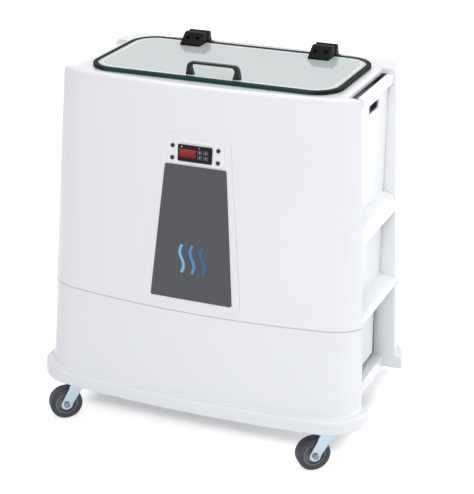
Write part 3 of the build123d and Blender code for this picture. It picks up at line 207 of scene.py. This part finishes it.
def clear_glass(name, haze_colour, haze):
    """Glass under a pale haze of some opacity, with a reflection that grows at grazing angles. The haze is
    painted light that stands in for the lit tank seen through the glass.
    """
    material = surface(name, haze_colour, HAZE_ROUGHNESS, mottle=HAZE_MOTTLE)
    nodes, links = nodes_of(material)
    pale_haze = nodes["Principled BSDF"]
    pale_haze.inputs["Alpha"].default_value = haze
    gloss = nodes.new("ShaderNodeBsdfGlossy")
    gloss.inputs["Roughness"].default_value = GLASS_ROUGHNESS
    fresnel = nodes.new("ShaderNodeFresnel")
    fresnel.inputs["IOR"].default_value = GLASS_IOR
    mix = nodes.new("ShaderNodeMixShader")
    links.new(fresnel.outputs["Fac"], mix.inputs["Fac"])
    links.new(pale_haze.outputs["BSDF"], mix.inputs[1])
    links.new(gloss.outputs["BSDF"], mix.inputs[2])
    links.new(mix.outputs["Shader"], nodes["Material Output"].inputs["Surface"])
    return material


looks = {
    "shell_white": surface("shell_white", (0.80, 0.805, 0.82), 0.28, coat=0.35, grain=0.05, grain_size=160),
    "base_white": surface("base_white", (0.79, 0.80, 0.815), 0.30, coat=0.35, grain=0.05, grain_size=160),
    # insert_white is the inserts' own pale white, lifted above the shell's as painted light for the stronger
    # light on the right side
    "insert_white": surface("insert_white", (0.84, 0.86, 0.87), 0.34, coat=0.25, grain=0.06, grain_size=200),
    "skirt_grey": surface("skirt_grey", (0.80, 0.83, 0.82), 0.5, grain=0.1, grain_size=300),
    "plate_steel": surface("plate_steel", (0.10, 0.10, 0.11), 0.5, grain=0.2),
    "stainless": brushed("stainless", (0.86, 0.91, 0.90), 0.38, "Z", metal=0.25),
    "foam": surface("foam", (0.72, 0.66, 0.48), 0.9, grain=0.5, grain_size=700),
    "frame_zinc": surface("frame_zinc", (0.55, 0.56, 0.58), 0.4, metal=1.0, mottle=0.1),
    "element_steel": surface("element_steel", (0.36, 0.33, 0.30), 0.38, metal=1.0, mottle=0.1),
    "fitting_brass": surface("fitting_brass", (0.72, 0.52, 0.22), 0.3, metal=1.0, mottle=0.08),
    "pipe_steel": brushed("pipe_steel", (0.62, 0.63, 0.64), 0.3, "Z"),
    "lever_red": surface("lever_red", (0.52, 0.03, 0.02), 0.4, coat=0.3),
    "rack_wire": surface("rack_wire", (0.72, 0.72, 0.70), 0.18, metal=1.0, mottle=0.05),
    "bezel_white": surface("bezel_white", (0.84, 0.84, 0.86), 0.3, coat=0.3, grain=0.05),
    "screw_black": surface("screw_black", (0.02, 0.02, 0.022), 0.35, metal=0.4),
    "case_black": surface("case_black", (0.008, 0.008, 0.010), 0.45, grain=0.15, grain_size=900, shine=0.15),
    "window_red": surface("window_red", (0.17, 0.006, 0.004), 0.25, shine=0.15, mottle=0.05),
    "key_black": surface("key_black", (0.016, 0.016, 0.020), 0.5, grain=0.1, grain_size=800, shine=0.2),
    "plate_grey": surface("plate_grey", (0.078, 0.080, 0.086), 0.5, grain=0.06, grain_size=900, shine=0.3),
    "cover_grey": surface("cover_grey", (0.55, 0.56, 0.57), 0.45, grain=0.25, grain_size=700),
    "screw_steel": surface("screw_steel", (0.60, 0.61, 0.62), 0.3, metal=1.0, mottle=0.08),
    "gland_black": surface("gland_black", (0.02, 0.02, 0.02), 0.45, grain=0.1),
    # painted light: the lid glass's pale haze stands in for the lit tank seen through it
    "lid_glass": clear_glass("lid_glass", (0.875, 0.965, 0.955), 0.62),
    "seal_rubber": surface("seal_rubber", (0.008, 0.009, 0.009), 0.55, grain=0.1, grain_size=700, shine=0.08),
    "handle_black": surface("handle_black", (0.010, 0.011, 0.012), 0.3, grain=0.1, grain_size=900, shine=0.25),
    "washer_grey": surface("washer_grey", (0.55, 0.57, 0.58), 0.45),
    "hinge_black": surface("hinge_black", (0.006, 0.006, 0.007), 0.5, grain=0.12, grain_size=900, shine=0.06),
    "hinge_screw": surface("hinge_screw", (0.012, 0.012, 0.013), 0.4, grain=0.1, shine=0.15),
    "caster_zinc": surface("caster_zinc", (0.45, 0.54, 0.61), 0.27, metal=1.0, mottle=0.12),
    "axle_zinc": surface("axle_zinc", (0.22, 0.25, 0.27), 0.22, metal=1.0, mottle=0.10),
    "hub_grey": surface("hub_grey", (0.16, 0.165, 0.17), 0.45, grain=0.08),
    "tyre_grey": surface("tyre_grey", (0.046, 0.047, 0.058), 0.62, grain=0.25, grain_size=500),
}

# painted shade: along the joint line between shell and base, behind the side panels and in the gaps round the
# lower panels
SEAM_HALF_WIDTH = 0.0022
SEAM_SHADE_GREY = (0.44, 0.44, 0.45)
POCKET_LOW = (0.2865, -0.088, 0.40)
POCKET_HIGH = (0.3158, 0.143, 0.8150)
POCKET_GREY = (0.11, 0.10, 0.095)
# box limits and colour of the painted shade in the gaps round the lower side panels
GAP_SHADE_IN = 0.3090
GAP_SHADE_OUT = 0.3170
GAP_SHADE_FRONT = -0.125
GAP_SHADE_BACK = 0.1275
GAP_SHADE_FOOT = 0.150
GAP_SHADE_TOP = 0.340
GAP_SHADE_WIDTH = 0.0135
GAP_SHADE_HEIGHT = 0.012
GAP_SHADE_GREY = (0.16, 0.15, 0.14)
SEAL_FADE = 0.004
SEAL_TEAL = (0.010, 0.050, 0.050)
SCREEN_GLOW_RED = (0.36, 0.045, 0.035)

# painted shade along the joint between shell and base
seam_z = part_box("upper_shell")[0][2]
for name in ("shell_white", "base_white"):
    seam_shade(looks[name], seam_z, SEAM_HALF_WIDTH, SEAM_SHADE_GREY)
for name in ("shell_white", "insert_white"):
    shaded_hollow(looks[name], POCKET_LOW, POCKET_HIGH, POCKET_GREY)
# painted shade in the gaps along the back and bottom edges of the lower side panels
gap_shades = (
    ((GAP_SHADE_IN, GAP_SHADE_BACK - GAP_SHADE_WIDTH, GAP_SHADE_FOOT), (GAP_SHADE_OUT, GAP_SHADE_BACK, GAP_SHADE_TOP)),
    ((GAP_SHADE_IN, GAP_SHADE_FRONT, GAP_SHADE_FOOT), (GAP_SHADE_OUT, GAP_SHADE_BACK, GAP_SHADE_FOOT + GAP_SHADE_HEIGHT)),
)
for name in ("base_white", "skirt_grey"):
    for low, high in gap_shades:
        shaded_hollow(looks[name], low, high, GAP_SHADE_GREY)
seal_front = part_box("lid_seal")[0][1]
fading(looks["seal_rubber"], 1, seal_front + SEAL_FADE, seal_front, SEAL_TEAL)
# painted glow: the display window turns lighter red towards its top
screen_low, screen_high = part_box("display_window")
fading(looks["window_red"], 2, screen_low[2], screen_high[2], SCREEN_GLOW_RED)

for name, piece in node.items():
    look = "axle_zinc" if name.startswith("caster_axle") else slot_of[name]
    piece.data.materials.clear()
    piece.data.materials.append(looks[look])


# ---------------------------------------------------------------- small pieces on the console
# the console's lean in degrees, its middle and the heights of its faces above the pad, in millimetres
LEAN = 6.39
CONSOLE_Y = -156.3
CONSOLE_Z = 686.0
CASE_FACE = 10.5
KEY_FACE = CASE_FACE + 1.0
PLATE_FACE = 3.5
CONSOLE_UP = Vector((0, sin(radians(LEAN)), cos(radians(LEAN))))
CONSOLE_OUT = Vector((0, -cos(radians(LEAN)), sin(radians(LEAN))))


def on_console(x, up, out):
    """Point on the leaning console, in metres, from millimetres across, up the slope and out of it."""
    return (Vector((x, CONSOLE_Y, CONSOLE_Z)) + CONSOLE_UP * up + CONSOLE_OUT * out) * MM


def finished(name, mesh, look, body):
    """Object made of a built mesh, with its material, that rides on a body."""
    bmesh.ops.recalc_face_normals(mesh, faces=mesh.faces)
    data = bpy.data.meshes.new(name)
    mesh.to_mesh(data)
    mesh.free()
    data.materials.append(look)
    piece = bpy.data.objects.new(name, data)
    scene.collection.objects.link(piece)
    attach(piece, body)


def decal(name, outlines, face, lift, look, body):
    """Thin piece made of flat outlines, which rises over a face of the console by its lift, in millimetres."""
    mesh = bmesh.new()
    for outline in outlines:
        rim = [mesh.verts.new(on_console(x, up, face + lift)) for x, up in outline]
        foot = [mesh.verts.new(on_console(x, up, face - lift)) for x, up in outline]
        mesh.faces.new(rim)
        mesh.faces.new(reversed(foot))
        for i in range(len(outline)):
            j = (i + 1) % len(outline)
            mesh.faces.new((rim[j], rim[i], foot[i], foot[j]))
    finished(name, mesh, look, body)


def arc(x, up, radius, start, end, steps=24):
    """Points along an arc between two angles in degrees."""
    return [
        (
            x + radius * cos(radians(start + (end - start) * i / steps)),
            up + radius * sin(radians(start + (end - start) * i / steps)),
        )
        for i in range(steps + 1)
    ]


def band(points, width):
    """Closed ribbon of even width along a line of points."""
    left, right = [], []
    for i, (x, up) in enumerate(points):
        ax, ay = points[max(i - 1, 0)]
        bx, by = points[min(i + 1, len(points) - 1)]
        length = hypot(bx - ax, by - ay)
        nx, ny = -(by - ay) / length * width / 2, (bx - ax) / length * width / 2
        left.append((x + nx, up + ny))
        right.append((x - nx, up - ny))
    return left + right[::-1]


# marks and outlines of the keys and the two lights, in console millimetres
KEY_X = (12.5, 26.0)
KEY_UP = (-5.5, 5.5)
OUTLINE_HALF_WIDTH = 5.0
OUTLINE_HALF_HEIGHT = 3.6
OUTLINE_LINE = 0.5
OUTLINE_LIFT = 0.05
MARK_LIFT = 0.06
MARK_HALF = 2.0
PLUS_LINE = 0.7
PLUS_HALF_WIDTH = 2.2
PLUS_HALF_HEIGHT = 1.6
POWER_RADIUS = 1.7
POWER_LINE = 0.6
POWER_STEM = 2.2
LIGHT_LIFT = 0.08
mark_white = surface("mark_white", (0.62, 0.63, 0.66), 0.5)
outline_grey = surface("outline_grey", (0.22, 0.22, 0.24), 0.5)
glyphs = {
    "key_down": (KEY_X[0], KEY_UP[0], [[(-MARK_HALF, 1.2), (MARK_HALF, 1.2), (0, -1.6)]]),
    "key_up": (KEY_X[0], KEY_UP[1], [[(-MARK_HALF, -1.2), (MARK_HALF, -1.2), (0, 1.6)]]),
    "key_set": (
        KEY_X[1],
        KEY_UP[0],
        [
            band([(-PLUS_HALF_WIDTH, 0), (PLUS_HALF_WIDTH, 0)], PLUS_LINE),
            band([(0, -PLUS_HALF_HEIGHT), (0, PLUS_HALF_HEIGHT)], PLUS_LINE),
        ],
    ),
    "key_power": (
        KEY_X[1],
        KEY_UP[1],
        [band(arc(0, 0, POWER_RADIUS, 120, 420), POWER_LINE), band([(0, 0), (0, POWER_STEM)], POWER_LINE)],
    ),
}
for key, (x, up, shapes) in glyphs.items():
    moved = [[(x + a, up + b) for a, b in shape] for shape in shapes]
    decal(key + "_mark", moved, KEY_FACE, MARK_LIFT, mark_white, key)
    corners = [
        (x + across * OUTLINE_HALF_WIDTH, up + along * OUTLINE_HALF_HEIGHT)
        for across, along in ((-1, -1), (1, -1), (1, 1), (-1, 1))
    ]
    sides = [band([corners[i], corners[(i + 1) % 4]], OUTLINE_LINE) for i in range(4)]
    decal(key + "_outline", sides, KEY_FACE, OUTLINE_LIFT, outline_grey, key)

HEAT_LIGHT = [(-31.5, 12.6), (-27.5, 12.6), (-29.5, 15.6)]
RUN_LIGHT = arc(10.5, 14.0, 1.1, 0, 345, 16)
decal("heat_light", [HEAT_LIGHT], CASE_FACE, LIGHT_LIFT, mark_white, "cabinet")
decal("run_light", [RUN_LIGHT], CASE_FACE, LIGHT_LIFT, mark_white, "cabinet")

# three rising heat waves on the front plate, in console millimetres
WAVE_HEIGHT = 62.0
WAVE_UP = -262.0
WAVE_PITCH = 24.0
WAVE_SWING = 5.0
WAVE_WIDTH = 6.5
WAVE_STEPS = 40
WAVE_BLUES = ((0.20, 0.42, 0.70), (0.08, 0.24, 0.55), (0.03, 0.10, 0.33))
for column, colour in enumerate(WAVE_BLUES):
    middle = (column - 1) * WAVE_PITCH
    line = []
    for step in range(WAVE_STEPS + 1):
        share = step / WAVE_STEPS
        line.append((middle + WAVE_SWING * sin(2 * pi * share), WAVE_UP + WAVE_HEIGHT * share))
    ink = surface(f"wave_{column + 1}", colour, 0.45)
    decal(f"heat_wave_{column + 1}", [band(line, WAVE_WIDTH)], PLATE_FACE, LIGHT_LIFT, ink, "cabinet")


# ---------------------------------------------------------------- painted highlight on the lid glass
def rounded(low, high, corner, inset, steps=12):
    """Points of a rounded rectangle, from its box in metres, its corner radius and an inset."""
    radius = corner - inset
    points = []
    for turn, (sx, sy) in enumerate(((1, 1), (-1, 1), (-1, -1), (1, -1))):
        cx = (high[0] - corner) if sx > 0 else (low[0] + corner)
        cy = (high[1] - corner) if sy > 0 else (low[1] + corner)
        for step in range(steps + 1):
            angle = radians(90 * turn + 90 * step / steps)
            points.append((cx + radius * cos(angle), cy + radius * sin(angle)))
    return points


def ring(name, outer, inner, bottom, top, look, body):
    """Closed flat ring between two outlines with as many points each."""
    mesh = bmesh.new()
    loops = [[mesh.verts.new((x, y, z)) for x, y in line] for line in (outer, inner) for z in (bottom, top)]
    outer_low, outer_high, inner_low, inner_high = loops
    for i in range(len(outer)):
        j = (i + 1) % len(outer)
        mesh.faces.new((outer_high[i], outer_high[j], inner_high[j], inner_high[i]))
        mesh.faces.new((outer_low[j], outer_low[i], inner_low[i], inner_low[j]))
        mesh.faces.new((outer_low[i], outer_low[j], outer_high[j], outer_high[i]))
        mesh.faces.new((inner_low[j], inner_low[i], inner_high[i], inner_high[j]))
    finished(name, mesh, look, body)


LID_CORNER = 0.062
GLINT_OUTER = 0.0165
GLINT_INNER = 0.0190
GLINT_SINK = 0.0005
GLINT_PROUD = 0.0002
# painted highlight: a pale ring near the rim of the lid glass, for the bright line that light refracted at the
# glass edge makes
lid_low, lid_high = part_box("lid_glass")
ring(
    "glass_edge_glint",
    rounded(lid_low, lid_high, LID_CORNER, GLINT_OUTER),
    rounded(lid_low, lid_high, LID_CORNER, GLINT_INNER),
    lid_high[2] - GLINT_SINK,
    lid_high[2] + GLINT_PROUD,
    surface("glass_edge_glint", (0.88, 0.92, 0.92), 0.12, coat=0.5, mottle=0.04),
    "lid",
)

# ---------------------------------------------------------------- camera, as the photograph was taken
CAMERA_PLACE = Vector((1237.4, -2890.5, 1708.0)) * MM
CAMERA_AIM = Vector((-49.8, 181.3, 339.9)) * MM
CAMERA_LENS = 110.64
CAMERA_SENSOR = 36.0
CAMERA_REACH = 60.0
camera = bpy.data.objects.new("camera", bpy.data.cameras.new("camera"))
scene.collection.objects.link(camera)
camera.location = CAMERA_PLACE
camera.rotation_mode = "QUATERNION"
camera.rotation_quaternion = (CAMERA_AIM - camera.location).to_track_quat("-Z", "Y")
camera.data.lens = CAMERA_LENS
camera.data.sensor_width = CAMERA_SENSOR
camera.data.clip_end = CAMERA_REACH
scene.camera = camera
scene.view_settings.view_transform = "Standard"


# ---------------------------------------------------------------- light and white ground
def softbox(name, place, target, size, power):
    """White area light of a given size and power in watts, aimed at a point."""
    lamp = bpy.data.objects.new(name, bpy.data.lights.new(name, "AREA"))
    scene.collection.objects.link(lamp)
    lamp.data.shape = "RECTANGLE"
    lamp.data.size, lamp.data.size_y = size
    lamp.data.energy = power
    lamp.location = place
    lamp.rotation_mode = "QUATERNION"
    lamp.rotation_quaternion = (Vector(target) - Vector(place)).to_track_quat("-Z", "Y")
    return lamp


key_light = softbox("key", (1.1, -3.1, 2.5), (0, 0, 0.4), (1.3, 1.3), 56)
key_light.visible_glossy = False
softbox("right", (3.7, 1.6, 1.7), (0, 0, 0.5), (2.0, 2.2), 60)
softbox("top", (0.0, 0.1, 3.4), (0, 0, 0.6), (3.0, 3.0), 44)


def white_rays(nodes, links, path):
    """Socket that is 1 for the rays that should see the plain white ground and backdrop."""
    total = path.outputs["Is Camera Ray"]
    for kind in ("Is Glossy Ray", "Is Transmission Ray"):
        larger = nodes.new("ShaderNodeMath")
        larger.operation = "MAXIMUM"
        links.new(total, larger.inputs[0])
        links.new(path.outputs[kind], larger.inputs[1])
        total = larger.outputs["Value"]
    return total


SKY_COLOUR = (0.93, 0.95, 1.0, 1)
SKY_STRENGTH = 0.42
world = bpy.data.worlds.new("world")
scene.world = world
world.use_nodes = True
nodes, links = nodes_of(world)
sky = nodes["Background"]
sky.inputs["Color"].default_value = SKY_COLOUR
sky.inputs["Strength"].default_value = SKY_STRENGTH
white = nodes.new("ShaderNodeBackground")
white.inputs["Color"].default_value = (1, 1, 1, 1)
white.inputs["Strength"].default_value = 1.0
mix = nodes.new("ShaderNodeMixShader")
links.new(white_rays(nodes, links, nodes.new("ShaderNodeLightPath")), mix.inputs["Fac"])
links.new(sky.outputs["Background"], mix.inputs[1])
links.new(white.outputs["Background"], mix.inputs[2])
links.new(mix.outputs["Shader"], nodes["World Output"].inputs["Surface"])

# The ground glows so that it turns into the white backdrop, most far away from the cabinet and less in a
# soft-edged rectangle under it. There the weaker glow paints a soft shadow patch, and the lamps' own shadow is
# left to show as well.
GROUND_HALF_SIZE = 14.0
GROUND_COLOUR = (0.86, 0.86, 0.86, 1)
GROUND_ROUGHNESS = 0.9
SHADE_MIDDLE = (-0.018, 0.140, 0.0)
SHADE_HALF_SIZE = (0.292, 0.195, 0.0)
# each step of the glow: where it starts and ends outside the rectangle, and how strong it is there
GLOW_STEPS = ((0.0, 0.05, 0.20, 0.55), (0.6, 1.4, 0.0, 0.45))

ground = bpy.data.meshes.new("ground")
mesh = bmesh.new()
bmesh.ops.create_grid(mesh, x_segments=1, y_segments=1, size=GROUND_HALF_SIZE)
mesh.to_mesh(ground)
mesh.free()
floor = bpy.data.objects.new("ground", ground)
scene.collection.objects.link(floor)
floor_look = bpy.data.materials.new("ground")
floor_look.use_nodes = True
nodes, links = nodes_of(floor_look)
plain = nodes["Principled BSDF"]
plain.inputs["Base Color"].default_value = GROUND_COLOUR
plain.inputs["Roughness"].default_value = GROUND_ROUGHNESS
away = nodes.new("ShaderNodeTexCoord").outputs["Object"]
for operation, value in (
    ("SUBTRACT", SHADE_MIDDLE),
    ("ABSOLUTE", None),
    ("SUBTRACT", SHADE_HALF_SIZE),
    ("MAXIMUM", (0.0, 0.0, 0.0)),
    ("LENGTH", None),
):
    step = nodes.new("ShaderNodeVectorMath")
    step.operation = operation
    if value:
        step.inputs[1].default_value = value
    links.new(away, step.inputs[0])
    away = step.outputs["Value" if operation == "LENGTH" else "Vector"]
glow_parts = []
for limits in GLOW_STEPS:
    spread = nodes.new("ShaderNodeMapRange")
    spread.interpolation_type = "SMOOTHSTEP"
    for name, value in zip(("From Min", "From Max", "To Min", "To Max"), limits):
        spread.inputs[name].default_value = value
    links.new(away, spread.inputs["Value"])
    glow_parts.append(spread.outputs["Result"])
total = nodes.new("ShaderNodeMath")
total.operation = "ADD"
glow = nodes.new("ShaderNodeEmission")
both = nodes.new("ShaderNodeAddShader")
mix = nodes.new("ShaderNodeMixShader")
links.new(glow_parts[0], total.inputs[0])
links.new(glow_parts[1], total.inputs[1])
links.new(total.outputs["Value"], glow.inputs["Strength"])
links.new(plain.outputs["BSDF"], both.inputs[0])
links.new(glow.outputs["Emission"], both.inputs[1])
links.new(white_rays(nodes, links, nodes.new("ShaderNodeLightPath")), mix.inputs["Fac"])
links.new(plain.outputs["BSDF"], mix.inputs[1])
links.new(both.outputs["Shader"], mix.inputs[2])
links.new(mix.outputs["Shader"], nodes["Material Output"].inputs["Surface"])
ground.materials.append(floor_look)
